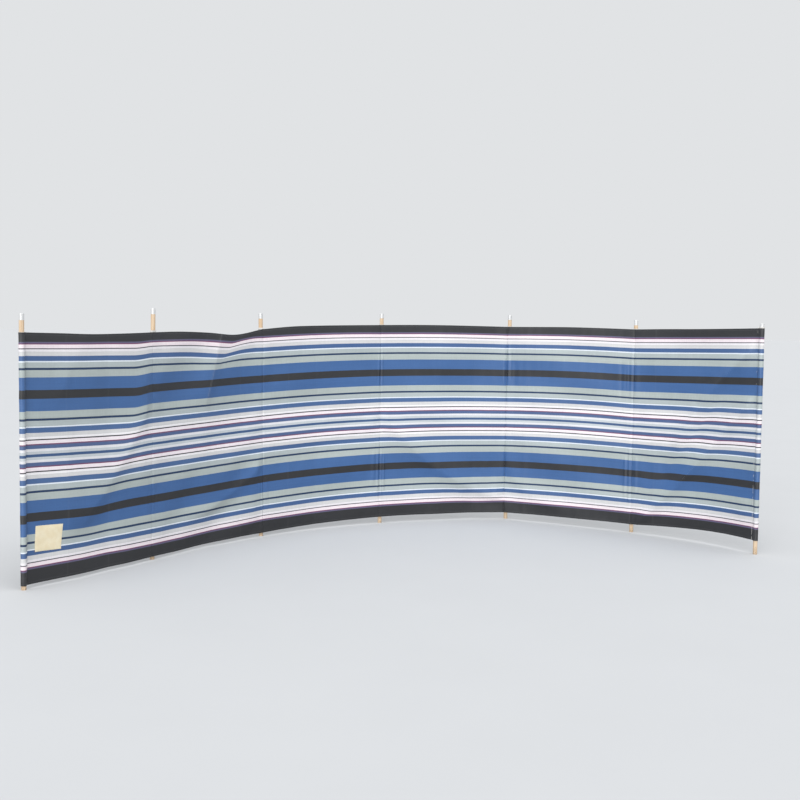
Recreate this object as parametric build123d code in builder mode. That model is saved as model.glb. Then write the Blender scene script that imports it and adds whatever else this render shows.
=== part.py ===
from build123d import *

import os
from math import cos, radians, sin

# A beach windbreak of six cloth bays on seven wooden poles, standing in a curve.
# Millimetres, +Z up, ground at Z = 0. The origin is the centre of pole 4 at ground level.
# The front of the cloth, where the curve is hollow, faces -Y. Poles and bays count from -X.

# Poles, from the ground up
pole_diameter = 28.0
pole_spacing = 984.0
bay_headings = [57, 53.5, 34.5, 14.5, -29, -47]
pole_above_cloth = [103, 140, 110, 92, 92, 66, 31]
pole_leans = [(2, 1), (6, 1), (-6, -1), (-2, 0), (1, 0), (-6, 1), (-6, 2)]
lean_height = 1000.0
origin_pole = 3

# Metal caps on the turned-down pole tops
cap_height = 36.0
cap_wall = 0.8
cap_stand_out = 0.2
cap_clearance = 0.2
cap_edge_radius = 1.5

# Cloth. Its top edge dips between the poles, or bulges up where the dip is below zero.
cloth_height = 1400.0
cloth_thickness = 1.5
hem_heights = [20, 18, 22, 48, 48, 53, 83]
hem_lifts = [2, 3, 3, 1, 5, 15]
top_dips = [13, 30, -15, -11, -8, 1]
dip_places = [0.6, 0.7, 0.5, 0.5, 0.5, 0.5]
billows_at_foot = [-10, 34, 50, 45, 10, 60]
billows_at_top = [-8, 20, 25, 25, 10, 15]
seam_gap = 0.3

# Sleeves that the poles stand in
sleeve_ease = 0.3
seam_standoff = 8.0
seam_shifts = [0, -24, 2, -14, -14, 4, 0]
sleeve_neck_radius = 2.0
sleeve_rise = 6.0

# Bare label patch on the front of the first bay, sewn on a little askew
patch_width = 180.0
patch_height = 144.0
patch_thickness = 1.0
patch_centre_from_seam = 141.0
patch_centre_above_hem = 248.0
patch_turn = -3.5
patch_gap = 0.3

pole_radius = pole_diameter / 2
cap_radius = pole_radius + cap_stand_out
spigot_radius = cap_radius - cap_wall - cap_clearance
sleeve_inner_radius = cap_radius + sleeve_ease
sleeve_radius = sleeve_inner_radius + cloth_thickness
seam_distance = sleeve_radius + seam_standoff
end_neck_distance = seam_distance - seam_gap - sleeve_neck_radius
inner_neck_distance = end_neck_distance - cloth_thickness
level_above_cloth = max(hem_heights) + cloth_height + sleeve_rise
cutter_margin = 2 * seam_distance
cutter_reach = 2 * (pole_radius + max(map(abs, billows_at_foot + billows_at_top)))
lowest_cut = -cutter_margin
highest_cut = level_above_cloth + cutter_margin
poles = range(len(pole_above_cloth))
end_poles = (poles[0], poles[-1])
bays = range(len(bay_headings))

os.makedirs("parts", exist_ok=True)


def along(heading):
    """Unit vector in plan at a heading in degrees from +X."""
    return Vector(cos(radians(heading)), sin(radians(heading)), 0)


def front_of(direction):
    """Unit vector to the front of a cloth line that runs along a direction."""
    return Vector(direction.Y, -direction.X, 0)


def pole_foot(pole):
    """Centre of a pole at ground level, stepped off bay by bay from the pole on the origin."""
    foot = Vector(0, 0, 0)
    for bay in range(origin_pole, pole):
        foot += along(bay_headings[bay]) * pole_spacing
    for bay in range(pole, origin_pole):
        foot -= along(bay_headings[bay]) * pole_spacing
    return foot


def pole_run(pole, height):
    """Vector along a pole that climbs a height."""
    lean_x, lean_y = pole_leans[pole]
    return Vector(lean_x, lean_y, lean_height) * (height / lean_height)


def pole_plane(pole, height):
    """Plane square to a pole, centred on it at a height."""
    return Plane(origin=pole_foot(pole) + pole_run(pole, height), z_dir=pole_run(pole, lean_height))


def pole_centre(pole, height):
    """Centre of a pole in plan at a height."""
    centre = pole_foot(pole) + pole_run(pole, height)
    return Vector(centre.X, centre.Y)


def seam_offset(pole, distance):
    """Vector in plan from a pole's centre to its seam, or to a point short of the seam."""
    if pole in end_poles:
        next_pole = 1 if pole == poles[0] else pole - 1
        next_seam = pole_foot(next_pole) + seam_offset(next_pole, seam_distance)
        return (next_seam - pole_foot(pole)).normalized() * distance
    tangent = along((bay_headings[pole - 1] + bay_headings[pole]) / 2)
    return front_of(tangent) * distance + tangent * seam_shifts[pole]


def seam_point(pole, height):
    """Point in plan of a pole's seam, on the front face of the cloth."""
    return pole_centre(pole, height) + seam_offset(pole, seam_distance)


def wall_sections(bay, front, back):
    """Bowed strips in plan, at the ground and above the cloth, that a wall over a bay is lofted on.

    The strips lie between two distances in front of the cloth's face.
    """
    sections = []
    for level, billow in ((0, billows_at_foot[bay]), (level_above_cloth, billows_at_top[bay])):
        start, finish = seam_point(bay, level), seam_point(bay + 1, level)
        direction = (finish - start).normalized()
        start += direction * (seam_gap / 2)
        finish -= direction * (seam_gap / 2)
        near, far = front_of(direction) * front, front_of(direction) * back
        with BuildSketch(Plane.XY.offset(level)) as section:
            with BuildLine():
                SagittaArc(start + near, finish + near, billow)
                Line(finish + near, finish + far)
                SagittaArc(start + far, finish + far, billow)
                Line(start + far, start + near)
            make_face()
        sections.append(section.sketch)
    return sections


def bay_plane(bay):
    """Upright plane through the feet of a bay's two seams, X along the bay and Y up."""
    start = seam_point(bay, 0)
    chord = seam_point(bay + 1, 0) - start
    return Plane(origin=start, x_dir=chord, z_dir=front_of(chord.normalized()))


for pole in poles:
    number = pole + 1
    hem = hem_heights[pole]
    shoulder = hem + cloth_height + pole_above_cloth[pole] - cap_height

    with BuildPart() as wood:
        with BuildSketch(pole_plane(pole, -pole_radius)):
            Circle(pole_radius)
        extrude(amount=pole_run(pole, shoulder + pole_radius).length)
        with BuildSketch(pole_plane(pole, shoulder)):
            Circle(spigot_radius)
        extrude(amount=cap_height - cap_wall)
        split(bisect_by=Plane.XY, keep=Keep.TOP)
    wood.part.label = f"pole_{number}"
    export_step(wood.part, f"parts/pole_{number}.step")

    with BuildPart() as cap:
        with BuildSketch(pole_plane(pole, shoulder)):
            Circle(cap_radius)
        extrude(amount=cap_height)
        fillet(cap.edges().sort_by(Axis.Z)[-1], cap_edge_radius)
        with BuildSketch(pole_plane(pole, shoulder)):
            Circle(spigot_radius + cap_clearance)
        extrude(amount=cap_height - cap_wall, mode=Mode.SUBTRACT)
    cap.part.label = f"pole_cap_{number}"
    export_step(cap.part, f"parts/pole_cap_{number}.step")

    neck_distance = end_neck_distance if pole in end_poles else inner_neck_distance
    with BuildPart() as sleeve:
        with BuildSketch(Plane.XY.offset(hem)):
            with Locations(pole_centre(pole, hem)):
                Circle(sleeve_radius)
            with Locations(pole_centre(pole, hem) + seam_offset(pole, neck_distance)):
                Circle(sleeve_neck_radius)
            make_hull()
            with Locations(pole_centre(pole, hem)):
                Circle(sleeve_inner_radius, mode=Mode.SUBTRACT)
        climb = pole_run(pole, cloth_height + sleeve_rise)
        extrude(amount=climb.length, dir=climb)
    sleeve.part.label = f"sleeve_{number}"
    export_step(sleeve.part, f"parts/sleeve_{number}.step")

for bay in bays:
    number = bay + 1
    width = (seam_point(bay + 1, 0) - seam_point(bay, 0)).length
    left, right = hem_heights[bay], hem_heights[bay + 1]
    hem_middle = (left + right) / 2 + hem_lifts[bay]
    dip_x = dip_places[bay] * width
    dip_z = left + (right - left) * dip_places[bay] + cloth_height - top_dips[bay]
    hem_line = [(0, left), (width / 2, hem_middle), (width, right)]
    top_line = [(0, left + cloth_height), (dip_x, dip_z), (width, right + cloth_height)]

    with BuildPart() as cloth:
        loft(wall_sections(bay, 0, -cloth_thickness), ruled=True)
        for edge_line, cut_level in ((hem_line, lowest_cut), (top_line, highest_cut)):
            first, last = edge_line[0], edge_line[-1]
            with BuildSketch(bay_plane(bay)):
                with BuildLine():
                    Spline(*edge_line)
                    Polyline(
                        last,
                        (width + cutter_margin, last[1]),
                        (width + cutter_margin, cut_level),
                        (-cutter_margin, cut_level),
                        (-cutter_margin, first[1]),
                        first,
                    )
                make_face()
            extrude(amount=cutter_reach, both=True, mode=Mode.SUBTRACT)
    cloth.part.label = f"cloth_bay_{number}"
    export_step(cloth.part, f"parts/cloth_bay_{number}.step")

with BuildPart() as patch:
    loft(wall_sections(bays[0], patch_gap + patch_thickness, patch_gap), ruled=True)
    with BuildSketch(bay_plane(bays[0])):
        with Locations((patch_centre_from_seam, hem_heights[0] + patch_centre_above_hem)):
            Rectangle(patch_width, patch_height, rotation=patch_turn)
    extrude(amount=cutter_reach, both=True, mode=Mode.INTERSECT)
patch.part.label = "label_patch"
export_step(patch.part, "parts/label_patch.step")
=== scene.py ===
from math import acos, atan2, cos, hypot, pi, radians, sin

import bpy
import numpy as np
from mathutils import Matrix, Vector


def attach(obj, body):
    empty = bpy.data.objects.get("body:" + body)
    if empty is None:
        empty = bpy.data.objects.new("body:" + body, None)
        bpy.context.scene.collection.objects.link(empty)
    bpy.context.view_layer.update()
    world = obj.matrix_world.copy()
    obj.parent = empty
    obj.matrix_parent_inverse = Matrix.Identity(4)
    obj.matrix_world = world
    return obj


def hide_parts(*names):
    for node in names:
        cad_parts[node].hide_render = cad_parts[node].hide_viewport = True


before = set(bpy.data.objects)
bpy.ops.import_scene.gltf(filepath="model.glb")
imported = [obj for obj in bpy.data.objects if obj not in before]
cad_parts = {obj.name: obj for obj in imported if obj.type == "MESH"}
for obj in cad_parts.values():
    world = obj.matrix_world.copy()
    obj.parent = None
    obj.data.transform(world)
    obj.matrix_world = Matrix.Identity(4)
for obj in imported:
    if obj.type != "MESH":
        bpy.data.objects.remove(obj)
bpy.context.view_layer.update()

# The looks of a beach windbreak: striped canvas in six bays, sleeved on seven turned poles.
# Metres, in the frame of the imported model. The front of the cloth faces -Y. Poles and bays
# count from 0 at the left here, and from 1 in the names of pieces.

# Where the poles stand and how the cloth hangs on them, as in the part's source
POLE_SPACING = 0.984
BAY_HEADINGS = [57, 53.5, 34.5, 14.5, -29, -47]
POLE_LEANS = [(2, 1), (6, 1), (-6, -1), (-2, 0), (1, 0), (-6, 1), (-6, 2)]
LEAN_HEIGHT = 1000
ORIGIN_POLE = 3
CLOTH_HEIGHT = 1.4
HEM_HEIGHTS = [0.020, 0.018, 0.022, 0.048, 0.048, 0.053, 0.083]
BILLOWS_AT_FOOT = [-0.010, 0.034, 0.050, 0.045, 0.010, 0.060]
BILLOWS_AT_TOP = [-0.008, 0.020, 0.025, 0.025, 0.010, 0.015]
BILLOW_LEVEL = 1.489
SEAM_DISTANCE = 0.024
SEAM_SHIFTS = [0, -0.024, 0.002, -0.014, -0.014, 0.004, 0]
SEAM_GAP = 0.0003
SLEEVE_INNER_RADIUS = 0.0145
PATCH_SIZE = (0.180, 0.144)
PATCH_CENTRE = (0.141, 0.248)
PATCH_TURN = radians(-3.5)

# How thick the canvas is, how far its bays roll back at the seams, and how far short of a
# rolled seam a tuck ends
CANVAS = 0.001
SEAM_ROLL = 0.003
TUCK_CLEARANCE = 0.0002

# How far from a seam the stitching keeps the canvas smooth and holds back its waves, and how
# far a pole's pull, the small gathers and the print's jolts spread from it
SEAM_SMOOTH, SEAM_HOLD = 0.006, 0.10
PULL_SPREAD, GATHER_SPREAD, JOLT_SPREAD = 0.014, 0.018, 0.02

# The grids that the cloths are made on: where the first columns stand beside a bay's seams and
# the first rows below its edges, and how many lie between; the same down a sleeve; and the
# same on the patch, from all its edges
SEAM_STEPS = [0, 0.0005, 0.0011, 0.0018, 0.0026, 0.0036, 0.005, 0.0075, 0.011]
SEAM_STEPS += [0.015 + 0.004 * step for step in range(28)]
EDGE_STEPS = [0, 0.0015, 0.004, 0.008]
COLUMNS, ROWS = 76, 136
MOUTH_STEPS, SLEEVE_ROWS = [0, 0.002, 0.005, 0.009, 0.014], 84
PATCH_STEPS, PATCH_COLUMNS, PATCH_ROWS = [0, 0.001, 0.0025], 44, 36
RIM_ANGLE = radians(50)  # a bend this sharp shows as an edge

# The cloth's cut edges in each bay, in millimetres at even places from its left seam to its
# right: how far the top falls below the straight line between its poles' seams, and how far
# the hem rises above its own
TOP_FALLS = [
    (0, 6, 13, 11, 6),
    (6, 5, 15, 31, -3),
    (-3, -15, -15, -12, -8),
    (-8, -11, -11, -8, -4),
    (-4, -7, -9, -6, -1),
    (-1, -1, 1, 1, 0),
]
HEM_RISES = [
    (3, 3, 3, 3, 4),
    (4, 1, 2, 4, 3),
    (3, 3, 2, 1, 0),
    (0, 1, 0, 1, 2),
    (2, 5, 6, 7, 6),
    (6, 13, 18, 17, 8),
]

# How far the print hangs below its place, in millimetres, at even depths from the top edge to
# the hem: at each pole's seam, and in the middle of each bay
SEAM_DROOPS = [
    (10, 4, 3, 3),
    (10, 14, 15, 18),
    (2, 2, 4, 4),
    (2, 6, 9, 15),
    (6, 9, 12, 9),
    (11, 12, 9, 8),
    (14, 11, 9, 7),
]
MIDDLE_DROOPS = [
    (14, 17, 14, 8),
    (5, 10, 15, 19),
    (-6, 1, 5, 12),
    (-1, 5, 8, 11),
    (3, 2, 3, 9),
    (12, 12, 6, 4),
]

# Slanting folds in each bay that pull the print down: between two places, given as the share
# of the bay from the left and the depth below the top; then how far they drop the print, and
# how far they spread to their left and to their right. They fade out beside a seam, over the
# given width.
FOLD_FADE = 0.16
FOLDS = [
    [([(1.00, 0.14), (0.53, 1.07)], 0.012, 0.25, 0.11)],
    [([(0.69, 0.11), (0.66, 0.14)], 0.030, 0.20, 0.08)],
    [],
    [([(-0.05, 0.65), (0.75, 1.30)], 0.004, 0.04, 0.30)],
    [],
    [
        ([(0.60, 0.58), (0.20, 1.06)], 0.006, 0.25, 0.03),
        ([(0.63, 0.83), (0.11, 1.34)], 0.005, 0.25, 0.06),
    ],
]

# The crests of those folds and of others: the places that each runs through, how far it
# stands proud, and how far it spreads to its left and to its right. They fade out likewise.
CREST_FADE = 0.07
CRESTS = [
    [
        ([(1.0, 0.35), (0.77, 0.72), (0.50, 1.02)], 0.013, 0.16, 0.06),
        ([(0.43, 0.02), (0.27, 0.31)], 0.0040, 0.06, 0.05),
    ],
    [
        ([(0.625, -0.03), (0.50, 0.37)], 0.0140, 0.10, 0.060),
        ([(1.04, 0.86), (0.75, 1.07), (0.55, 1.16)], 0.0130, 0.06, 0.052),
    ],
    [([(1.0, 0.66), (0.70, 0.76), (0.45, 0.80)], 0.0040, 0.05, 0.05)],
    [([(-0.04, 0.62), (0.2, 0.84), (0.445, 1.05), (0.86, 1.26)], 0.0160, 0.050, 0.12)],
    [([(-0.02, 1.00), (0.12, 1.18), (0.30, 1.29)], 0.0050, 0.05, 0.08)],
    [
        ([(1.0, 0.11), (0.70, 0.37), (0.42, 0.72)], 0.0220, 0.044, 0.050),
        ([(0.95, 0.50), (0.58, 0.876), (0.16, 1.29)], 0.0240, 0.050, 0.048),
    ],
]

# The one crest with a sharp crease on it: its bay, the places that the crease runs through,
# how far it stands proud, and how far it spreads to both sides. Along it the print is also
# painted paler, as a highlight of the crest.
SHARP_CREASE = (1, [(0.625, -0.03), (0.50, 0.37)], 0.0016, 0.005)

# Upright creases where the cloth was folded away, as shares of each bay, the first proud and
# the second sunk by so much, how far the cloth bends beside them, and how wide they are worn
CREASE_HEIGHT, CREASE_BEND, CREASE_WIDTH = 0.003, 0.08, 0.0035
CREASES = [(0.29, 0.62), (0.48, 0.80), (0.22, 0.46), (0.47, 0.75), (0.16, 0.52), (0.18, 0.54)]

# How far the inner poles draw their seams in, in millimetres at even places down each
SEAM_PULLS = {
    1: (0.4, 0.8, 1.2, 2.2, 1.4),
    2: (0.8, 1.8, 1.0, 0.6, 0.4),
    3: (1.0, 2.4, 1.4, 2.8, 1.2),
    4: (1.6, 2.0, 1.9, 2.4, 1.6),
    5: (1.5, 2.3, 1.7, 2.2, 1.4),
}

# Upright puckers beside the seams: the pole, how far to the right of its seam, from what depth
# to what depth below the top, how far it stands proud, and how wide it is. The length over
# which each of them starts and ends is the same.
PUCKER_TAPER = 0.07
PUCKERS = [
    (1, -0.016, 0.84, 1.20, -0.0016, 0.012),
    (2, -0.009, 0.16, 0.80, -0.0012, 0.005),
    (2, -0.012, 0.96, 1.38, 0.0030, 0.006),
    (2, -0.036, 0.98, 1.30, 0.0024, 0.008),
    (2, 0.028, 0.98, 1.30, 0.0020, 0.008),
    (2, 0.009, 0.30, 1.38, 0.0016, 0.004),
    (3, 0.012, 0.16, 0.46, 0.0044, 0.006),
    (3, -0.014, 0.16, 0.46, 0.0036, 0.006),
    (3, -0.050, 0.88, 1.18, 0.0050, 0.016),
    (3, -0.018, 0.90, 1.24, 0.0060, 0.007),
    (3, 0.012, 0.90, 1.26, 0.0050, 0.006),
    (3, 0.030, 0.92, 1.24, 0.0060, 0.007),
    (4, 0.014, 0.10, 0.44, 0.0030, 0.006),
    (4, 0.034, 0.16, 0.42, -0.0022, 0.007),
    (4, 0.064, 0.22, 0.48, -0.0034, 0.026),
    (4, -0.018, 0.12, 0.46, 0.0022, 0.006),
    (5, -0.018, 0.14, 0.50, 0.0024, 0.006),
    (5, -0.036, 0.18, 0.56, -0.0020, 0.007),
    (5, -0.058, 0.22, 0.48, -0.0016, 0.008),
    (5, -0.092, 0.20, 0.52, -0.0026, 0.013),
    (5, 0.024, 0.14, 0.50, 0.0018, 0.014),
    (5, -0.050, 0.88, 1.24, 0.0050, 0.009),
    (5, -0.018, 0.82, 1.26, 0.0046, 0.008),
    (5, 0.030, 0.86, 1.20, 0.0036, 0.011),
]

# How far each sleeve's mouth stands above the cloth's top edge, how far it flares, and how
# far down
MOUTH_RISES = [0.002, 0.012, 0.009, 0.003, 0.003, 0.005, 0.008]
MOUTH_FLARE, FLARE_DEPTH = 0.0014, 0.018

# How loosely the sleeves are sewn, and so how wide their middle layer turns about a pole; how
# far out one still is loose, and by how much it bulges there; then the points that draw one
# in plan: on a straight ply, from it to the turn, and on the turn
SLEEVE_EASE = 0.0003
SLEEVE_RADIUS = SLEEVE_INNER_RADIUS + CANVAS / 2 + SLEEVE_EASE
LOOSE_RADIUS = SLEEVE_RADIUS * 1.15
SLEEVE_BULGE = 0.0006
PLY_POINTS, NECK_POINTS, TURN_POINTS = 5, 6, 34

# The hems round the end poles, from each pole's centre: where the two plies part, where the
# back one ends behind the bay, and where they are stitched; then how many thicknesses of
# canvas the back one lies behind the face
HEM_NECK, HEM_LAP, HEM_STITCHING = 0.0205, 0.030, 0.0222
BACK_PLY = 1.6

# How the print sags on the first pole's hem: how far, from what depth, and over what length
FIRST_HEM_SAG, SAG_START, SAG_LENGTH = 0.009, 0.5, 0.8

# The label patch: how far it stands off the canvas, how much more inside its drawn-down edge,
# and how wide that edge is and its worn outside; how far in and how high its stitching lies,
# and how much of each side it leaves at the loose corner
PATCH_STAND_OFF, PATCH_FULLNESS = 0.0013, 0.0009
PATCH_EDGE, PATCH_WORN_EDGE = 0.012, 0.004
PATCH_STITCH_INSET, PATCH_STITCH_HEIGHT, PATCH_UNSTITCHED = 0.005, 0.0017, 0.022

# The patch's loose corner, by the distances from its two sides added up: where it lifts and
# how steeply; the crease across it, where, how high and how wide; and where the crease is
# rubbed, how much and how wide
CORNER_LIFTS, CORNER_SLOPE = 0.030, 0.16
CORNER_CREASE = (0.036, 0.0010, 0.005)
CORNER_RUB = (0.032, 0.5, 0.003)

# The stitches of the hems and, finer, of the patch
STITCH_LENGTH, STITCH_PITCH, STITCH_THICKNESS = 0.0032, 0.0045, 0.0005
PATCH_STITCH_LENGTH, PATCH_STITCH_PITCH = 0.0028, 0.004

BAYS = range(len(BAY_HEADINGS))
POLES = range(len(BAY_HEADINGS) + 1)
END_POLES = (POLES[0], POLES[-1])


def along(heading):
    """Plan direction at a heading in degrees from +X."""
    return np.array([cos(radians(heading)), sin(radians(heading))])


def unit(vectors):
    return vectors / np.linalg.norm(vectors, axis=-1, keepdims=True)


def front_of(direction):
    """Turns plan directions a quarter clockwise, to the front of a cloth that runs along them."""
    return np.stack([direction[..., 1], -direction[..., 0]], axis=-1)


def pole_foot(pole):
    """Plan centre of a pole at the ground, stepped off from the one that stands on the origin."""
    foot = np.zeros(2)
    for bay in range(ORIGIN_POLE, pole):
        foot += along(BAY_HEADINGS[bay]) * POLE_SPACING
    for bay in range(pole, ORIGIN_POLE):
        foot -= along(BAY_HEADINGS[bay]) * POLE_SPACING
    return foot


def pole_centre(pole, height):
    """Plan centres of a pole at an array of heights."""
    lean = np.array(POLE_LEANS[pole]) / LEAN_HEIGHT
    return pole_foot(pole) + np.asarray(height)[..., None] * lean


def seam_offset(pole, distance):
    """Plan step from a pole's centre towards its seam."""
    if pole in END_POLES:
        neighbour = 1 if pole == POLES[0] else pole - 1
        toward = pole_foot(neighbour) + seam_offset(neighbour, SEAM_DISTANCE) - pole_foot(pole)
        return unit(toward) * distance
    tangent = along((BAY_HEADINGS[pole - 1] + BAY_HEADINGS[pole]) / 2)
    return front_of(tangent) * distance + tangent * SEAM_SHIFTS[pole]


def seam_point(pole, height):
    """Plan places of a pole's seam at an array of heights."""
    return pole_centre(pole, height) + seam_offset(pole, SEAM_DISTANCE)


def bay_width(bay):
    """From seam to seam at the ground."""
    return np.linalg.norm(seam_point(bay + 1, 0) - seam_point(bay, 0))


# ---------------------------------------------------------------- the cloth's shape


def eased(share):
    """Smooth rise from 0 to 1."""
    share = np.clip(share, 0, 1)
    return share * share * (3 - 2 * share)


def ripples(across, down, seed, lengths, height):
    """Seeded unevenness: a few plane waves of given lengths, added up."""
    random = np.random.default_rng(seed)
    total = np.zeros(np.broadcast(across, down).shape)
    for length in lengths:
        angle, phase = random.uniform(0, 2 * pi, 2)
        total += np.sin((across * cos(angle) + down * sin(angle)) * 2 * pi / length + phase)
    return total * height / len(lengths)


def through(places, values, at):
    """Smooth curve through values at places, read at an array."""
    total = 0
    for place, value in zip(places, values):
        weight = value
        for other in places:
            if other != place:
                weight = weight * (at - other) / (place - other)
        total = total + weight
    return total


def flowing(values, share):
    """Smooth curve through values at even places from 0 to 1, read at an array."""
    values = np.array(values, float)
    slopes = np.gradient(values)
    place = np.clip(share, 0, 1) * (len(values) - 1)
    step = np.minimum(place.astype(int), len(values) - 2)
    t = place - step
    rise = values[step + 1] - values[step]
    start, finish = slopes[step], slopes[step + 1]
    curved = (start + finish - 2 * rise) * t**3 + (3 * rise - 2 * start - finish) * t**2
    return values[step] + start * t + curved


def fold_profile(bay, line, left_spread, right_spread, share, depth):
    """How strongly a fold through some places on a bay is felt, from 0 to 1 on its line. It
    fades out past its ends."""
    shares, depths = zip(*line)
    step, end_fade = 0.001, 0.15
    place = through(depths, shares, depth)
    slant = (through(depths, shares, depth + step) - place) * bay_width(bay) / step
    beside = (share - place) * bay_width(bay) / np.hypot(1, slant)
    half = (max(depths) - min(depths)) / 2
    past_ends = np.maximum(0, np.abs(depth - min(depths) - half) - half) * np.hypot(1, slant)
    spread = np.where(beside < 0, left_spread, right_spread)
    return np.exp(-np.abs(beside / spread) ** 1.5 - (past_ends / end_fade) ** 2)


def print_droop(bay, share, depth):
    """How far the print hangs below its place on a bay."""
    across = zip(SEAM_DROOPS[bay], MIDDLE_DROOPS[bay], SEAM_DROOPS[bay + 1])
    rows = [through((0, 0.5, 1), row, share) / 1000 for row in across]
    droop = through((0, 1 / 3, 2 / 3, 1), rows, depth / CLOTH_HEIGHT)
    free = eased(np.minimum(share, 1 - share) * bay_width(bay) / FOLD_FADE)
    for line, drop, left_spread, right_spread in FOLDS[bay]:
        fold = fold_profile(bay, line, left_spread, right_spread, share, depth)
        droop = droop + drop * fold * free
    return droop


def top_depth(bay, share):
    """How deep the cloth's top edge lies on a bay."""
    return flowing(TOP_FALLS[bay], share) / 1000


def foot_depth(bay, share):
    """How deep the cloth's hem lies on a bay."""
    return CLOTH_HEIGHT - flowing(HEM_RISES[bay], share) / 1000


def sharp_crease(bay, share, depth):
    """How close a place on a bay is to the sharp crease, from 0 to 1."""
    creased, line, _, spread = SHARP_CREASE
    if bay != creased:
        return 0 * share * depth
    return fold_profile(bay, line, spread, spread, share, depth)


def crease_wear_and_highlight(bay, share, depth):
    """How worn the print is by its creases: about 1 along most of them. On the sharp one it is 3,
    worn print and a painted highlight of its crest.
    """
    across = share * bay_width(bay)
    places = [crease * bay_width(bay) for crease in CREASES[bay]]
    packed = sum(np.exp(-(((across - place) / CREASE_WIDTH) ** 2)) for place in places)
    rubbed = 0.6 + ripples(across, depth, 90 + bay, (0.1, 0.17, 0.3), 0.5)
    # Along the sharp crease this paints a highlight of its crest as well as wear.
    return packed * rubbed + 3 * sharp_crease(bay, share, depth)


def seam_pull(pole, depth):
    """How far an inner pole draws its seam in at depths below the top."""
    uneven = ripples(depth * 0, depth, 150 + pole, (0.11, 0.19, 0.33), 0.3)
    return flowing(SEAM_PULLS[pole], depth / CLOTH_HEIGHT) / 1000 * (1 + uneven)


def puckered(bay, share, depth):
    """How far the puckers beside the seams stand proud."""
    from_left, from_right = share * bay_width(bay), (1 - share) * bay_width(bay)
    total = 0
    for pole, beside, first, last, height, spread in PUCKERS:
        if pole in (bay, bay + 1):
            place = from_left - beside if pole == bay else -from_right - beside
            window = eased((depth - first) / PUCKER_TAPER) * eased((last - depth) / PUCKER_TAPER)
            total = total + height * np.exp(-((place / spread) ** 2)) * window
    return total * eased(np.minimum(from_left, from_right) / SEAM_SMOOTH)


def bay_relief(bay, share, depth):
    """How far the canvas stands in front of its evenly bowed surface."""
    across, width = share * bay_width(bay), bay_width(bay)
    from_seam = np.minimum(across, width - across)
    held = eased(from_seam / SEAM_HOLD)
    relief = ripples(across, depth, 10 + bay, (0.31, 0.38, 0.47, 0.62, 0.85), 0.009) * held
    relief += ripples(across, depth * 0.35, 30 + bay, (0.07, 0.10, 0.15), 0.0009) * held
    for line, height, left_spread, right_spread in CRESTS[bay]:
        crest = fold_profile(bay, line, left_spread, right_spread, share, depth)
        relief += height * crest * eased(from_seam / CREST_FADE)
    for crease, height in zip(CREASES[bay], (CREASE_HEIGHT, -CREASE_HEIGHT)):
        relief += height * np.exp(-np.abs(share - crease) * width / CREASE_BEND) * held
    relief += SHARP_CREASE[2] * sharp_crease(bay, share, depth)
    gathers = ripples(depth * 0, depth, 50 + bay, (0.024, 0.037, 0.058, 0.083), 0.0022)
    relief += gathers * np.exp(-from_seam / GATHER_SPREAD) * eased(from_seam / SEAM_SMOOTH)
    return relief + puckered(bay, share, depth)


def turned_back(pole, distance, depth):
    """How far a bay's edge has turned back to an inner pole at distances from their seam."""
    left = np.clip(SEAM_ROLL - distance, 0, SEAM_ROLL) / SEAM_ROLL
    rolled = SEAM_ROLL * (1 - np.sqrt(1 - left**2))
    return rolled + seam_pull(pole, depth) * (1 - eased(distance / PULL_SPREAD))


def bay_surface(bay, share, depth):
    """Points on the printed face of a bay, at shares from its left seam and depths below the
    straight line between the tops of its seams."""
    straight = HEM_HEIGHTS[bay] + (HEM_HEIGHTS[bay + 1] - HEM_HEIGHTS[bay]) * share + CLOTH_HEIGHT
    height = straight - depth
    start, finish = seam_point(bay, height), seam_point(bay + 1, height)
    chord = finish - start
    width, direction = np.linalg.norm(chord, axis=-1, keepdims=True), unit(chord)
    level = height / BILLOW_LEVEL
    billow = BILLOWS_AT_FOOT[bay] * (1 - level) + BILLOWS_AT_TOP[bay] * level
    proud = bay_relief(bay, share, depth) - billow * 4 * share * (1 - share)
    from_left, from_right = share * width[..., 0], (1 - share) * width[..., 0]
    plan = start + direction * SEAM_GAP / 2 + direction * (width - SEAM_GAP) * share[..., None]
    plan = plan + front_of(direction) * proud[..., None]
    for pole, distance in ((bay, from_left), (bay + 1, from_right)):
        if pole not in END_POLES:
            tangent = along((BAY_HEADINGS[pole - 1] + BAY_HEADINGS[pole]) / 2)
            plan = plan - front_of(tangent) * turned_back(pole, distance, depth)[..., None]
    return np.concatenate([plan, height[..., None]], axis=-1)


def spaced(length, steps, count):
    """Distances along a length, close together by the given steps at both ends."""
    steps = np.array(steps)
    middle = np.linspace(steps[-1], length - steps[-1], count)[1:-1]
    return np.concatenate([steps, middle, length - steps[::-1]])


# ---------------------------------------------------------------- finishes


def shade(red, green, blue):
    """A colour as it is seen, 0 to 255, for a colour socket."""
    seen = [level / 255 for level in (red, green, blue)]
    return tuple(s / 12.92 if s <= 0.04045 else ((s + 0.055) / 1.055) ** 2.4 for s in seen) + (1,)


# The Mix node's sockets for colours, which share their names with others
FIRST_COLOUR, SECOND_COLOUR, MIXED_COLOUR = 6, 7, 2


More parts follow.
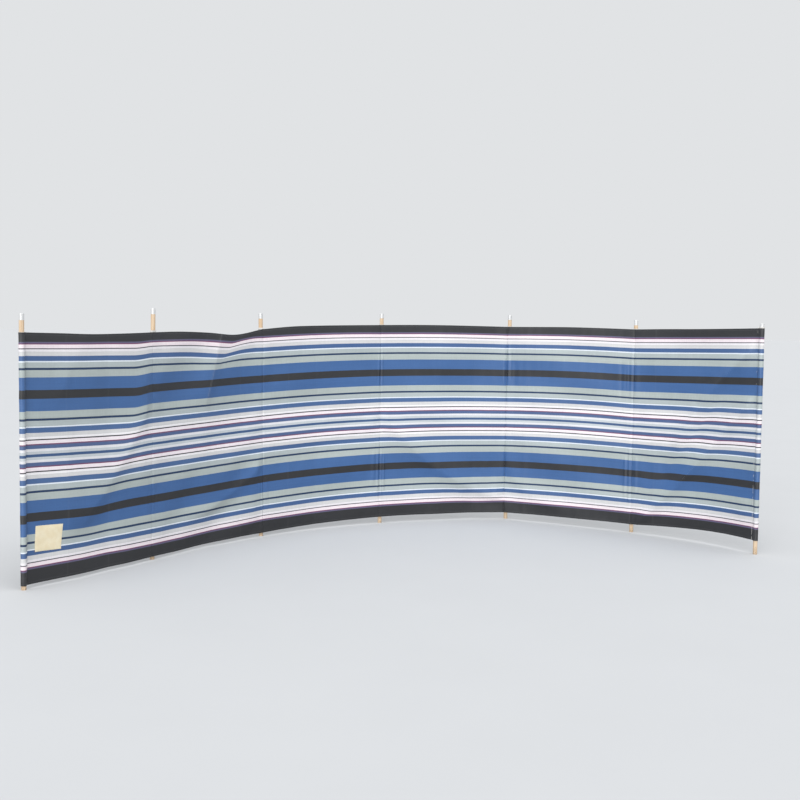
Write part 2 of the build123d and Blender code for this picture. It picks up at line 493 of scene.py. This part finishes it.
class Wire:
    """A socket in a node tree. Sums, products and differences with it add Math nodes."""

    def __init__(self, tree, socket):
        self.tree, self.socket = tree, socket

    def add(self, kind, settings=None, inputs=None, output=0):
        """Adds a node: its settings first, then the values or links of its sockets. Gives one
        of its outputs, by number or name."""
        node = self.tree.nodes.new(kind)
        for name, value in (settings or {}).items():
            setattr(node, name, value)
        for name, value in (inputs or {}).items():
            if isinstance(value, Wire):
                self.tree.links.new(value.socket, node.inputs[name])
            else:
                node.inputs[name].default_value = value
        return Wire(self.tree, node.outputs[output] if len(node.outputs) else None)

    def math(self, operation, *values):
        return self.add("ShaderNodeMath", {"operation": operation}, dict(enumerate(values)))

    def __add__(self, other):
        return self.math("ADD", self, other)

    def __radd__(self, other):
        return self.math("ADD", other, self)

    def __sub__(self, other):
        return self.math("SUBTRACT", self, other)

    def __rsub__(self, other):
        return self.math("SUBTRACT", other, self)

    def __mul__(self, other):
        return self.math("MULTIPLY", self, other)

    def __rmul__(self, other):
        return self.math("MULTIPLY", other, self)

    def __abs__(self):
        return self.math("ABSOLUTE", self)

    def rising(self, low, high):
        """0 at the low value, 1 at the high one, smooth between."""
        return self.add(
            "ShaderNodeMapRange",
            {"interpolation_type": "SMOOTHSTEP"},
            {"Value": self, "From Min": low, "From Max": high},
        )

    def noise(self, scale, detail=2.0, rough=0.5):
        """Noise on this vector, about 0 to 1."""
        inputs = {"Vector": self, "Scale": scale, "Detail": detail, "Roughness": rough}
        return self.add("ShaderNodeTexNoise", None, inputs)

    def stretched(self, x, y, z):
        """This vector with its parts scaled."""
        scales = {0: self, 1: (x, y, z)}
        return self.add("ShaderNodeVectorMath", {"operation": "MULTIPLY"}, scales)

    def part(self, axis):
        """The X, Y or Z of this vector."""
        return self.add("ShaderNodeSeparateXYZ", None, {0: self}, axis)

    def tint(self, first, second):
        """Mixes two colours by this share."""
        colours = {0: self, FIRST_COLOUR: first, SECOND_COLOUR: second}
        return self.add("ShaderNodeMix", {"data_type": "RGBA"}, colours, MIXED_COLOUR)

    def bumped(self, strength, distance, normal=None):
        """Normal that this height raises."""
        inputs = {"Height": self, "Strength": strength, "Distance": distance}
        if normal:
            inputs["Normal"] = normal
        return self.add("ShaderNodeBump", None, inputs)


def finish(name, paint):
    """A material whose shader takes the sockets that paint gives for its empty tree."""
    material = bpy.data.materials.new(name)
    material.use_nodes = True
    tree = material.node_tree
    tree.nodes.clear()
    start = Wire(tree, None)
    shader = start.add("ShaderNodeBsdfPrincipled", None, paint(start))
    start.add("ShaderNodeOutputMaterial", None, {"Surface": shader})
    return material


# The print: how deep its middle lies and how far its colours bleed; then its stripes from the
# middle outwards, alike above and below: where each ends, in millimetres, and its colour
PRINT_MIDDLE = 0.6765
PRINT_BLEED = 0.0004
NAVY = shade(25, 54, 91)
BLUE = shade(64, 104, 159)
DEEP_BLUE = shade(74, 106, 154)
INK = shade(44, 45, 48)
SAGE = shade(180, 190, 188)
COOL_SAGE = shade(182, 192, 193)
PALE_GREY = shade(219, 219, 220)
WHITE = shade(251, 242, 247)
ICE = shade(235, 243, 250)
MAGENTA = shade(124, 45, 95)
PLUM = shade(100, 96, 125)
STRIPES = [
    (8, shade(60, 91, 135)),
    (23.4, shade(202, 209, 214)),
    (38, shade(232, 233, 237)),
    (57, shade(80, 102, 146)),
    (61, PLUM),
    (65.5, MAGENTA),
    (85.7, WHITE),
    (92.4, shade(35, 32, 46)),
    (105.5, shade(248, 247, 249)),
    (127.5, PALE_GREY),
    (156.6, DEEP_BLUE),
    (164, ICE),
    (195, COOL_SAGE),
    (207.5, NAVY),
    (248.4, SAGE),
    (317.6, BLUE),
    (366.5, INK),
    (436.6, BLUE),
    (477.5, SAGE),
    (490, NAVY),
    (520.4, COOL_SAGE),
    (528, ICE),
    (556, shade(69, 101, 150)),
    (580, PALE_GREY),
    (593.4, shade(242, 239, 243)),
    (599.1, shade(69, 70, 80)),
    (620, shade(250, 238, 243)),
    (624.8, MAGENTA),
    (634, PLUM),
    (900, INK),
]
UNPRINTED = shade(232, 229, 224)

# How wide two threads are in each weave, how far in from its cut edges the canvas is stitched,
# and how far from its middle such a line starts and ends to fade
CANVAS_WEAVE, PATCH_WEAVE = 0.0011, 0.0007
HEM_STITCH_DEPTH = 0.012
LINE_FADES, LINE_ENDS = 0.0004, 0.0012


def waves(distance, length):
    """Waves of a length along a distance, from -1 to 1."""
    return distance.math("SINE", distance * (2 * pi / length))


def canvas(name, wash):
    """Printed canvas. The wash is how far its colours pale, as they do on the reverse."""

    def paint(start):
        printed = start.add("ShaderNodeUVMap", {"uv_map": "print"})
        across, depth = printed.part("X"), printed.part("Y")
        from_top = start.add("ShaderNodeUVMap", {"uv_map": "cut"}).part("Y")
        # This attribute holds wear, and along the sharp crease a painted highlight too.
        wear_and_highlight = start.add("ShaderNodeAttribute", {"attribute_name": "wear_and_highlight"}, None, "Fac")

        bleeding = (printed.noise(900, 1) - 0.5) * 0.0007
        wander = (printed.stretched(14, 3, 1).noise(1, 2) - 0.5) * 0.0012
        distance = abs(depth + bleeding + wander - PRINT_MIDDLE)
        colour = STRIPES[0][1]
        for (edge, _), (_, ink) in zip(STRIPES, STRIPES[1:]):
            edge = edge / 1000
            colour = distance.rising(edge - PRINT_BLEED, edge + PRINT_BLEED).tint(colour, ink)
        bare = 1 - from_top.rising(-0.0012, -0.0004)
        colour = bare.tint(colour, UNPRINTED)
        if wash:
            shows = wash + (printed.noise(600, 1) - 0.5) * 0.10
            colour = shows.tint(colour, UNPRINTED)

        slubs = printed.stretched(14, 520, 1).noise(1, 2)
        slubs = slubs + printed.stretched(420, 10, 1).noise(1, 1)
        patchy = printed.noise(2.6, 3)
        streaks = printed.stretched(1.3, 85, 1).noise(1, 3, 0.6)
        uneven = printed.stretched(55, 150, 1).noise(1, 2) - 0.5
        warp = printed.stretched(170, 3, 1).noise(1, 1) - 0.5
        brightness = 1 + (slubs - 1) * 0.14 + (streaks - 0.5) * 0.20 + (patchy - 0.5) * 0.08
        brightness = brightness + uneven * 0.12 + warp * 0.07
        greys = {0: brightness, 1: brightness, 2: brightness}
        grey = start.add("ShaderNodeCombineColor", None, greys)
        multiplied = {"data_type": "RGBA", "blend_type": "MULTIPLY"}
        colours = {0: 1.0, FIRST_COLOUR: colour, SECOND_COLOUR: grey}
        colour = start.add("ShaderNodeMix", multiplied, colours, MIXED_COLOUR)
        frayed = (1 - from_top.rising(0.0005, 0.003)) * printed.noise(700, 2).rising(0.45, 0.7)
        # Wear and fraying pale the print towards light grey, and along the sharp crease the same
        # paling is a painted highlight.
        worn_and_highlit = (wear_and_highlight * 0.2 + frayed * 0.5) * 0.16
        colour = worn_and_highlit.tint(colour, shade(214, 212, 210))

        weave = waves(across, CANVAS_WEAVE) * waves(depth, CANVAS_WEAVE)
        from_top_line = abs(from_top - HEM_STITCH_DEPTH)
        from_foot_line = abs(from_top - (CLOTH_HEIGHT - HEM_STITCH_DEPTH))
        near_top = 1 - from_top_line.rising(LINE_FADES, LINE_ENDS)
        near_foot = 1 - from_foot_line.rising(LINE_FADES, LINE_ENDS)
        hem_line = near_top + near_foot
        stitched = hem_line * waves(across, STITCH_PITCH).rising(-0.7, -0.3)
        colour = (stitched * 0.35).tint(colour, shade(120, 120, 126))
        threads = weave.bumped(0.35, 0.00012)
        slubbed = slubs.bumped(0.25, 0.0004, threads)
        sewn = (stitched * 0.8 - hem_line).bumped(0.6, 0.0006, slubbed)
        return {
            "Base Color": colour,
            "Roughness": 0.48 - worn_and_highlit * 0.4 + (slubs - 1) * 0.08,
            "Normal": sewn,
            "Specular IOR Level": 0.65,
        }

    return finish(name, paint)


def sewn_patch_cloth(name):
    """Bare cream label cloth, finely woven."""

    def paint(start):
        spot = start.add("ShaderNodeUVMap", {"uv_map": "cut"})
        across, down = spot.part("X"), spot.part("Y")
        broad, fine = spot.noise(22, 3), spot.stretched(160, 900, 1).noise(1, 2)
        colour = broad.rising(0.3, 0.75).tint(shade(247, 233, 198), shade(253, 243, 214))
        colour = (fine.rising(0.35, 0.8) * 0.3).tint(colour, shade(229, 213, 175))
        soiled = spot.noise(60, 4, 0.6).rising(0.58, 0.8) * 0.3
        colour = soiled.tint(colour, shade(214, 198, 158))
        weave = waves(across, PATCH_WEAVE) * waves(down, PATCH_WEAVE)
        return {
            "Base Color": colour,
            "Roughness": 0.78 + (fine - 0.5) * 0.2,
            "Normal": (weave * 0.5 + fine).bumped(0.4, 0.00015),
            "Specular IOR Level": 0.3,
        }

    return finish(name, paint)


def turned_pole_wood(name):
    """Pale softwood, turned and unvarnished, with its grain up the pole."""

    def paint(start):
        place = start.add("ShaderNodeTexCoord", None, None, "Object")
        height = place.part("Z")
        bend = (place.stretched(6, 6, 2.2).noise(1, 2) - 0.5) * 0.05
        bent = start.add("ShaderNodeCombineXYZ", None, {0: bend, 1: bend})
        grained = start.add("ShaderNodeVectorMath", {"operation": "ADD"}, {0: place, 1: bent})
        rings = grained.stretched(150, 150, 3).noise(1, 2).rising(0.38, 0.66)
        fibres = place.stretched(900, 900, 14).noise(1, 3)
        board = place.stretched(3, 3, 0.8).noise(1, 1)
        colour = board.rising(0.3, 0.7).tint(shade(226, 201, 170), shade(232, 210, 182))
        colour = (rings * 0.65).tint(colour, shade(206, 174, 138))
        colour = (fibres.rising(0.45, 0.8) * 0.45).tint(colour, shade(196, 162, 126))
        knots = place.stretched(34, 34, 16).noise(1, 1).rising(0.74, 0.82)
        colour = (knots * 0.7).tint(colour, shade(160, 116, 82))
        soiled = (1 - height.rising(0.0, 0.06)) * place.noise(120, 3).rising(0.3, 0.7)
        colour = (soiled * 0.55).tint(colour, shade(126, 106, 80))
        return {
            "Base Color": colour,
            "Roughness": 0.62 + fibres * 0.16 - rings * 0.08,
            "Normal": (fibres + rings * 0.5).bumped(0.35, 0.0004),
            "Specular IOR Level": 0.35,
        }

    return finish(name, paint)


def pressed_cap_metal(name):
    """Zinc-plated steel, dulled and lightly scuffed."""

    def paint(start):
        place = start.add("ShaderNodeTexCoord", None, None, "Object")
        cloudy = place.noise(140, 3)
        scuffs = place.stretched(500, 500, 90).noise(1, 4, 0.65)
        colour = cloudy.rising(0.35, 0.7).tint(shade(226, 227, 228), shade(238, 238, 237))
        colour = (scuffs.rising(0.58, 0.75) * 0.4).tint(colour, shade(176, 177, 180))
        return {
            "Base Color": colour,
            "Metallic": 0.55 - scuffs.rising(0.62, 0.8) * 0.25,
            "Roughness": 0.46 + cloudy * 0.14 + scuffs.rising(0.5, 0.75) * 0.14,
            "Normal": (scuffs + cloudy * 0.6).bumped(0.3, 0.0003),
        }

    return finish(name, paint)


def sewing_thread(name, colour, dark):
    """Twisted polyester thread."""

    def paint(start):
        place = start.add("ShaderNodeTexCoord", None, None, "Object")
        twist = place.noise(2600, 2)
        return {
            "Base Color": twist.rising(0.3, 0.7).tint(dark, colour),
            "Roughness": 0.55 + twist * 0.25,
            "Normal": twist.bumped(0.5, 0.0001),
        }

    return finish(name, paint)


# ---------------------------------------------------------------- pieces


def linked(name, mesh):
    piece = bpy.data.objects.new(name, mesh)
    bpy.context.scene.collection.objects.link(piece)
    return piece


def outward_of(points):
    """Unit normals of a grid of points, rows from the top down and columns left to right."""
    return unit(np.cross(np.gradient(points, axis=0), np.gradient(points, axis=1)))


def bake_map(rows, columns, rim):
    """Flat places on the map that finishes are baked on, of a cloth's outer and inner layer in
    its left and right half, and of its rim's faces close about the outer one."""
    margin, rim_reach = 0.006, 0.004
    centre = np.array([0.25, 0.5])
    side = np.linspace(margin, 0.5 - margin, columns)[None, :] + np.zeros((rows, 1))
    rise = np.linspace(1 - margin, margin, rows)[:, None] + np.zeros((1, columns))
    outer = np.stack([side, rise], axis=-1).reshape(-1, 2)
    from_centre = np.clip((outer - centre) / (centre - margin), -1, 1)
    beyond = outer + from_centre**31 * rim_reach
    return np.concatenate([outer, outer + [0.5, 0]]), np.concatenate([outer, beyond])[rim]


def grid_quads(rows, columns):
    corner = (np.arange(rows - 1)[:, None] * columns + np.arange(columns - 1)).ravel()
    return np.stack([corner, corner + columns, corner + columns + 1, corner + 1], axis=1)


def cloth_piece(name, points, maps, wear_and_highlight, finishes):
    """A piece of cloth from a grid of points on its outer side, rows from the top down and
    columns from left to right as that side is seen. It has an outer layer, an inner layer and
    the rim between them; finishes are those of the two sides."""
    rows, columns = points.shape[:2]
    inner = points - outward_of(points) * CANVAS
    layers = np.concatenate([points.reshape(-1, 3), inner.reshape(-1, 3)])
    count = rows * columns
    index = np.arange(count).reshape(rows, columns)
    loop = np.concatenate([index[0], index[1:, -1], index[-1, -2::-1], index[-2:0:-1, 0]])
    following = np.roll(loop, -1)
    quads = grid_quads(rows, columns)
    rim = np.stack([loop, following, following + count, loop + count], axis=1)
    faces = np.concatenate([quads, quads[:, ::-1] + count, rim])

    mesh = bpy.data.meshes.new(name)
    mesh.from_pydata(layers.tolist(), [], faces.tolist())
    for map_name, (across, depth) in maps.items():
        flat = np.stack([across, depth], axis=-1).reshape(-1, 2)
        flat = np.concatenate([flat, flat])
        mesh.uv_layers.new(name=map_name).data.foreach_set("uv", flat[faces].ravel())

    both_sides, rim_places = bake_map(rows, columns, rim)
    bake = np.concatenate([both_sides[faces[: 2 * len(quads)]], rim_places])
    mesh.uv_layers.new(name="OFBake").data.foreach_set("uv", bake.ravel())

    worn_and_highlit = mesh.attributes.new("wear_and_highlight", "FLOAT", "POINT")
    worn_and_highlit.data.foreach_set("value", np.concatenate([wear_and_highlight.ravel()] * 2).astype(np.float32))
    for material in finishes:
        mesh.materials.append(material)
    sides = np.zeros(len(faces), np.int32)
    sides[len(quads) : 2 * len(quads)] = 1
    mesh.polygons.foreach_set("material_index", sides)
    mesh.polygons.foreach_set("use_smooth", np.ones(len(faces), bool))
    mesh.set_sharp_from_angle(angle=RIM_ANGLE)
    mesh.update()
    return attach(linked(name, mesh), "root")


def bay_cloth(bay, face, reverse):
    """One bay of the striped canvas between two seams."""
    width = bay_width(bay)
    share = (spaced(width, SEAM_STEPS, COLUMNS) / width)[None, :]
    down = (spaced(CLOTH_HEIGHT, EDGE_STEPS, ROWS) / CLOTH_HEIGHT)[:, None]
    top = top_depth(bay, share)
    depth = top + (foot_depth(bay, share) - top) * down
    share = share + depth * 0
    run = (bay + share) * POLE_SPACING
    from_seam = np.minimum(share, 1 - share) * width
    jolt = ripples(depth * 0, depth, 70 + bay, (0.05, 0.09, 0.13), 0.0012)
    drooped = depth - print_droop(bay, share, depth) + jolt * np.exp(-from_seam / JOLT_SPREAD)
    maps = {"print": (run, drooped), "cut": (run, down * CLOTH_HEIGHT + share * 0)}
    # The wear here includes the painted highlight along the sharp crease.
    points, wear_and_highlight = bay_surface(bay, share, depth), crease_wear_and_highlight(bay, share, depth)
    piece = cloth_piece(f"bay_cloth_{bay + 1}", points, maps, wear_and_highlight, [face, reverse])
    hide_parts(f"cloth_bay_{bay + 1}")


def straight_run(start, finish, count):
    """Points at even places from a start to a finish."""
    steps = np.linspace(0, 1, count)[:, None]
    return np.array(start) + (np.array(finish) - np.array(start)) * steps


def sleeve_path(start, finish):
    """Plan line of a sleeve's middle layer about a pole at the origin: from the start points,
    round the far side of the pole counterclockwise, to the finish points."""
    (near_x, near_y), (far_x, far_y) = start[-1], finish[0]
    leave = atan2(near_y, near_x) + acos(SLEEVE_RADIUS / hypot(near_x, near_y))
    meet = 2 * pi + atan2(far_y, far_x) - acos(SLEEVE_RADIUS / hypot(far_x, far_y))
    angles = np.linspace(leave, meet, TURN_POINTS)
    arc = np.stack([np.cos(angles), np.sin(angles)], axis=1) * SLEEVE_RADIUS
    parts = [straight_run(a, b, PLY_POINTS)[:-1] for a, b in zip(start, start[1:])]
    parts += [straight_run(start[-1], arc[0], NECK_POINTS)[:-1], arc]
    parts += [straight_run(arc[-1], finish[0], NECK_POINTS)[1:]]
    parts += [straight_run(a, b, PLY_POINTS)[1:] for a, b in zip(finish, finish[1:])]
    return np.concatenate(parts)


def hem_path(pole):
    """Direction from an end pole to its seam, and the plan line of the hem round the pole, from
    one ply's end to the other's."""
    behind = 1 if pole == POLES[0] else -1
    front_ply, back_ply = behind * CANVAS / 2, behind * CANVAS * BACK_PLY
    front_end = [(SEAM_DISTANCE - SEAM_GAP / 2, front_ply), (HEM_NECK, front_ply)]
    back_end = [(HEM_LAP, back_ply), (HEM_NECK, back_ply)]
    start, finish = (back_end, front_end) if behind > 0 else (front_end, back_end)
    return seam_offset(pole, 1.0), sleeve_path(start, finish[::-1])


def tuck_path(pole):
    """Direction from an inner pole to its tuck's neck, and the plan line of the tuck round the
    pole, from one bay's edge to the other's."""
    neck = seam_offset(pole, SEAM_DISTANCE - SEAM_ROLL - TUCK_CLEARANCE)
    reach = np.linalg.norm(neck)
    ply = CANVAS / 2 + SEAM_GAP / 2
    return neck / reach, sleeve_path([(reach, ply)], [(reach, -ply)])


def sleeve_cloth(pole, face, reverse):
    """The pocket that a pole stands in, sewn behind a seam, or the hem round an end pole."""
    end = pole in END_POLES
    toward, path = hem_path(pole) if end else tuck_path(pole)
    steps = np.linalg.norm(np.diff(path, axis=0), axis=1)
    around = np.concatenate([[0], np.cumsum(steps)])

    bay, share = (pole, np.array(0.0)) if pole < POLES[-1] else (pole - 1, np.array(1.0))
    cloth_top = float(top_depth(bay, share))
    mouth = cloth_top - MOUTH_RISES[pole]
    length = float(foot_depth(bay, share)) - mouth
    down = spaced(length, MOUTH_STEPS, SLEEVE_ROWS)
    depth = (down + mouth)[:, None] + around[None, :] * 0
    across = around[None, :] + depth * 0
    bulges = ripples(across * 3, depth, 110 + pole, (0.05, 0.09, 0.16, 0.28), 0.0012)
    flare = MOUTH_FLARE * np.clip(1 - down / FLARE_DEPTH, 0, 1)[:, None] ** 2
    loose = np.where(np.linalg.norm(path, axis=1) < LOOSE_RADIUS, 1.0, 0.0)
    beside = 3
    window = np.ones(2 * beside + 1) / (2 * beside + 1)
    loose = np.convolve(np.pad(loose, beside, mode="edge"), window, "valid")[None, :]
    stand_out = (np.maximum(SLEEVE_BULGE + bulges, 0) + flare) * loose
    plan = path[None] + unit(path)[None] * stand_out[..., None]
    if not end:
        reach = path[:, 0].max() - SLEEVE_RADIUS
        neck_share = np.clip((path[:, 0] - SLEEVE_RADIUS) / reach, 0, 1)
        plan[..., 0] -= seam_pull(pole, depth) * neck_share

    height = HEM_HEIGHTS[pole] + CLOTH_HEIGHT - depth
    spot = pole_centre(pole, height) + plan[..., :1] * toward - plan[..., 1:] * front_of(toward)
    middle = np.concatenate([spot, height[..., None]], axis=-1)
    points = middle + outward_of(middle) * CANVAS / 2

    droops = []
    if pole > POLES[0]:
        droops.append(print_droop(pole - 1, 1 + depth * 0, depth))
    if pole < POLES[-1]:
        droops.append(print_droop(pole, depth * 0, depth))
    droop = sum(droops) / len(droops)
    if pole == POLES[0]:
        droop = droop + FIRST_HEM_SAG * eased((depth - SAG_START) / SAG_LENGTH)
    run = pole * POLE_SPACING + across
    maps = {"print": (run, depth - droop), "cut": (run, depth - cloth_top)}
    wear_and_highlight = 0.35 + ripples(across * 4, depth, 130 + pole, (0.04, 0.07, 0.12), 0.5)
    sides = [face, reverse] if end else [reverse, face]
    piece = cloth_piece(f"sleeve_cloth_{pole + 1}", points, maps, np.clip(wear_and_highlight, 0, 1), sides)
    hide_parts(f"sleeve_{pole + 1}")


# A stitch from end to end: places along it and the lift off the cloth there, as shares of the
# thread's length and thickness, and how thick it is there
STITCH_RINGS = [
    (-0.5, -0.6, 0.35),
    (-0.32, 0.3, 0.9),
    (0, 0.55, 1),
    (0.32, 0.3, 0.9),
    (0.5, -0.6, 0.35),
]
STITCH_SIDES = 6


def stitches(name, points, normals, thread, length, pitch):
    """A row of short stitches along a line on cloth, each dipping into it at both ends."""
    steps = np.linalg.norm(np.diff(points, axis=0), axis=1)
    travelled = np.concatenate([[0], np.cumsum(steps)])
    starts = np.arange(pitch / 2, travelled[-1] - pitch / 2, pitch)

    def read(values, at):
        return np.stack([np.interp(at, travelled, values[:, i]) for i in range(3)], axis=1)

    sides, rings, thickness = STITCH_SIDES, len(STITCH_RINGS), STITCH_THICKNESS
    turns = [(cos(2 * pi * i / sides), sin(2 * pi * i / sides)) for i in range(sides)]
    vertices, faces = [], []
    for lengthwise, lift, girth in STITCH_RINGS:
        at = starts + lengthwise * length
        centre, up = read(points, at), read(normals, at)
        ahead = unit(read(points, at + pitch / 4) - read(points, at - pitch / 4))
        aside = np.cross(ahead, up)
        centre = centre + up * lift * thickness
        ring = [centre + (up * c + aside * s) * girth * thickness / 2 for c, s in turns]
        vertices.append(np.stack(ring, axis=1))
    for base in range(0, len(starts) * rings * sides, rings * sides):
        for first in range(base, base + (rings - 1) * sides, sides):
            for i in range(sides):
                a, b = first + i, first + (i + 1) % sides
                faces.append((a, b, b + sides, a + sides))
        faces.append(tuple(base + i for i in range(sides))[::-1])
        faces.append(tuple(base + (rings - 1) * sides + i for i in range(sides)))
    mesh = bpy.data.meshes.new(name)
    mesh.from_pydata(np.stack(vertices, axis=1).reshape(-1, 3).tolist(), [], faces)
    mesh.materials.append(thread)
    mesh.polygons.foreach_set("use_smooth", np.ones(len(faces), bool))
    mesh.update()
    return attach(linked(name, mesh), "root")


def hem_stitches(pole, thread):
    """Stitching that closes the hem round an end pole, on its front."""
    below_top, above_hem = 0.003, 0.012
    toward = seam_offset(pole, 1.0)
    hem = HEM_HEIGHTS[pole]
    height = np.linspace(hem + CLOTH_HEIGHT - below_top, hem + above_hem, 300)
    plan = pole_centre(pole, height) + toward * HEM_STITCHING
    front = front_of(toward if pole == POLES[0] else -toward)
    points = np.concatenate([plan, height[:, None]], axis=1)
    normals = np.zeros_like(points) + np.append(front, 0)
    name = f"hem_stitches_{pole + 1}"
    piece = stitches(name, points, normals, thread, STITCH_LENGTH, STITCH_PITCH)


def patch_spot(across, up):
    """Share and depth on the first bay of places on the patch, from its centre."""
    x = PATCH_CENTRE[0] + across * cos(PATCH_TURN) - up * sin(PATCH_TURN)
    y = PATCH_CENTRE[1] + across * sin(PATCH_TURN) + up * cos(PATCH_TURN)
    share = x / bay_width(0)
    straight = HEM_HEIGHTS[0] + (HEM_HEIGHTS[1] - HEM_HEIGHTS[0]) * share
    return share, straight + CLOTH_HEIGHT - (HEM_HEIGHTS[0] + y)


def front_of_first_bay(share, depth):
    """Points on the printed face of the first bay, and the unit normals there."""
    step = 0.002
    beside = bay_surface(0, share + step, depth) - bay_surface(0, share - step, depth)
    below = bay_surface(0, share, depth + step) - bay_surface(0, share, depth - step)
    return bay_surface(0, share, depth), unit(np.cross(below, beside))


def patch_cloth(cloth):
    """The bare label patch, a little puckered by its stitching, with one corner loose."""
    width, height = PATCH_SIZE
    across = (spaced(width, PATCH_STEPS, PATCH_COLUMNS) - width / 2)[None, :]
    up = (height / 2 - spaced(height, PATCH_STEPS, PATCH_ROWS))[:, None]
    across, up = across + up * 0, up + across * 0
    points, normal = front_of_first_bay(*patch_spot(across, up))
    inset = np.minimum(width / 2 - np.abs(across), height / 2 - np.abs(up))
    middle = eased(inset / PATCH_EDGE)
    lift = PATCH_STAND_OFF + PATCH_FULLNESS * middle
    lift += ripples(across, up, 7, (0.03, 0.045, 0.07), 0.0005) * middle
    lift += ripples(across * 6, up * 6, 8, (0.05, 0.07), 0.0003) * (1 - middle)
    from_corner = (across + width / 2) + (up + height / 2)
    lift += np.clip(CORNER_LIFTS - from_corner, 0, None) * CORNER_SLOPE
    crease, rub = (
        strength * np.exp(-(((from_corner - place) / spread) ** 2))
        for place, strength, spread in (CORNER_CREASE, CORNER_RUB)
    )
    points = points + normal * (lift + crease)[..., None]
    wear_and_highlight = 0.6 * (1 - eased(inset / PATCH_WORN_EDGE)) + rub
    piece = cloth_piece("sewn_patch", points, {"cut": (across, up)}, wear_and_highlight, [cloth, cloth])
    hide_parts("label_patch")
    return piece


def patch_stitches(thread):
    """Stitching round the patch, a little in from its edge, but not at its loose corner."""
    x, y = PATCH_SIZE[0] / 2 - PATCH_STITCH_INSET, PATCH_SIZE[1] / 2 - PATCH_STITCH_INSET
    near_x, near_y = -x + PATCH_UNSTITCHED, -y + PATCH_UNSTITCHED
    corners = [(near_x, -y), (x, -y), (x, y), (-x, y), (-x, near_y)]
    line = np.concatenate([straight_run(a, b, 60) for a, b in zip(corners, corners[1:])])
    points, normal = front_of_first_bay(*patch_spot(line[:, 0], line[:, 1]))
    points = points + normal * PATCH_STITCH_HEIGHT
    length, pitch = PATCH_STITCH_LENGTH, PATCH_STITCH_PITCH
    piece = stitches("patch_stitches", points, normal, thread, length, pitch)
    return piece


# ---------------------------------------------------------------- making

striped_face = canvas("striped_canvas_face", 0.0)
striped_reverse = canvas("striped_canvas_reverse", 0.55)
patch_face = sewn_patch_cloth("patch_cotton")
pole_wood = turned_pole_wood("turned_pole_wood")
cap_metal = pressed_cap_metal("pressed_cap_zinc")
hem_thread = sewing_thread("hem_thread", shade(112, 119, 132), shade(70, 76, 90))
patch_thread = sewing_thread("patch_thread", shade(238, 230, 200), shade(198, 184, 140))

for pole in POLES:
    for node, material in ((f"pole_{pole + 1}", pole_wood), (f"pole_cap_{pole + 1}", cap_metal)):
        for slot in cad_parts[node].material_slots:
            slot.material = material
    sleeve_cloth(pole, striped_face, striped_reverse)
for bay in BAYS:
    bay_cloth(bay, striped_face, striped_reverse)
for pole in END_POLES:
    hem_stitches(pole, hem_thread)
patch = patch_cloth(patch_face)
patch_stitches(patch_thread)

# ---------------------------------------------------------------- studio


def pale_floor():
    """A wide plain floor."""
    reach = 60
    mesh = bpy.data.meshes.new("studio_floor")
    corners = [(-reach, -reach, 0), (reach, -reach, 0), (reach, reach, 0), (-reach, reach, 0)]
    mesh.from_pydata(corners, [], [(0, 1, 2, 3)])

    def paint(start):
        place = start.add("ShaderNodeTexCoord", None, None, "Object")
        mottle = place.noise(1.5, 2)
        colour = mottle.tint(shade(196, 198, 200), shade(199, 201, 203))
        seen = start.add("ShaderNodeLightPath", None, None, "Is Camera Ray")
        colour = seen.tint(shade(150, 151, 152), colour)
        return {"Base Color": colour, "Roughness": 0.9, "Specular IOR Level": 0.2}

    mesh.materials.append(finish("studio_floor_paint", paint))
    linked("studio_floor", mesh)


def soft_light():
    """Even light from all round, and two broad lamps: from the front and from above."""
    world = bpy.data.worlds.new("studio")
    world.use_nodes = True
    tree = world.node_tree
    tree.nodes.clear()
    start = Wire(tree, None)
    lit = {"Color": shade(252, 253, 255), "Strength": 0.79}
    shown = {"Color": shade(225, 227, 229), "Strength": 1.0}
    light = start.add("ShaderNodeBackground", None, lit)
    backdrop = start.add("ShaderNodeBackground", None, shown)
    seen, mirrored, through_glass = (
        start.add("ShaderNodeLightPath", None, None, name)
        for name in ("Is Camera Ray", "Is Glossy Ray", "Is Transmission Ray")
    )
    direct = seen.math("MAXIMUM", seen.math("MAXIMUM", seen, mirrored), through_glass)
    both = start.add("ShaderNodeMixShader", None, {0: direct, 1: light, 2: backdrop})
    start.add("ShaderNodeOutputWorld", None, {"Surface": both})
    bpy.context.scene.world = world

    for name, energy, spread, toward in (
        ("front_lamp", 1.42, 36, (-0.27, -0.93, 0.25)),
        ("top_lamp", 1.50, 70, (0.14, -0.33, 0.94)),
    ):
        lamp = bpy.data.lights.new(name, "SUN")
        lamp.energy = energy
        lamp.angle = radians(spread)
        linked(name, lamp).rotation_euler = Vector(toward).to_track_quat("Z", "Y").to_euler()


def camera():
    """Stands where the photograph was taken from."""
    stand = (0.1058, -8.5281, 1.5823)
    pan, drop, roll = -0.2176, 4.510, 0.8194
    lens = bpy.data.cameras.new("front_view")
    lens.sensor_width = 36
    lens.lens = 52.571
    lens.clip_end = 200
    view = linked("front_view", lens)
    turned = Matrix.Rotation(radians(pan), 4, "Z")
    tilted = Matrix.Rotation(radians(90 - drop), 4, "X")
    rolled = Matrix.Rotation(radians(roll), 4, "Z")
    view.matrix_world = Matrix.Translation(stand) @ turned @ tilted @ rolled
    bpy.context.scene.camera = view


pale_floor()
soft_light()
camera()
bpy.context.scene.view_settings.view_transform = "Standard"
